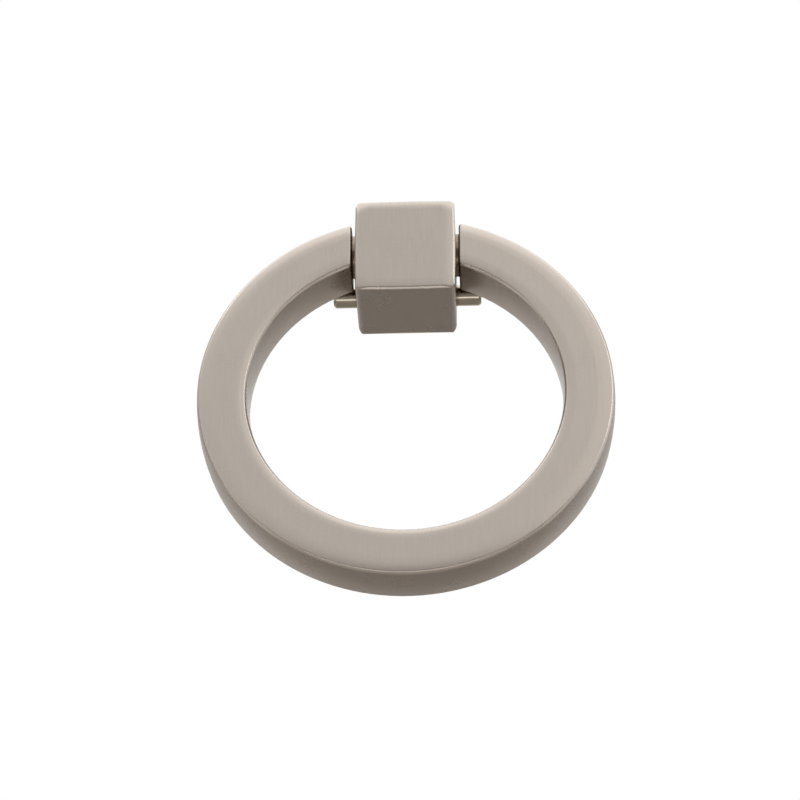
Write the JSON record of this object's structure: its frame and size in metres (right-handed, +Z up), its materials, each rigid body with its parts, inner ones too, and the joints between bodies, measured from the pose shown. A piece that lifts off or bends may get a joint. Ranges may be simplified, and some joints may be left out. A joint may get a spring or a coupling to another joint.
{
  "type": "ring pull",
  "caption": "Cabinet ring pull: a flat-faced metal ring with square-cut ends that swings on stubs in a square post fastened from behind.",
  "frame": {"origin": "centre of the post's flat back, at the mouth of the screw hole, in the plane of the cabinet front", "axes": "+Y into the cabinet, so the pull stands out along -Y; +Z up, with the ring hanging down along -Z; +X to the right seen from the front"},
  "size_m": [0.054, 0.0117, 0.0559],
  "materials": {
    "post_metal": "satin nickel plating, finely brushed",
    "ring_metal": "satin nickel plating, finely brushed",
    "pin_metal": "satin nickel plating, smooth"
  },
  "bodies": {
    "base": {"post": "post_metal", "side_pin_left": "pin_metal", "side_pin_right": "pin_metal"},
    "ring": {"ring": "ring_metal"}
  },
  "joints": [
    {"name": "ring_swing", "type": "hinge", "parent": "base", "child": "ring", "pos_m": [0, -0.00746, 0.00075], "axis": [-1, 0, 0], "range_deg": [-4.5, 184.5]}
  ]
}
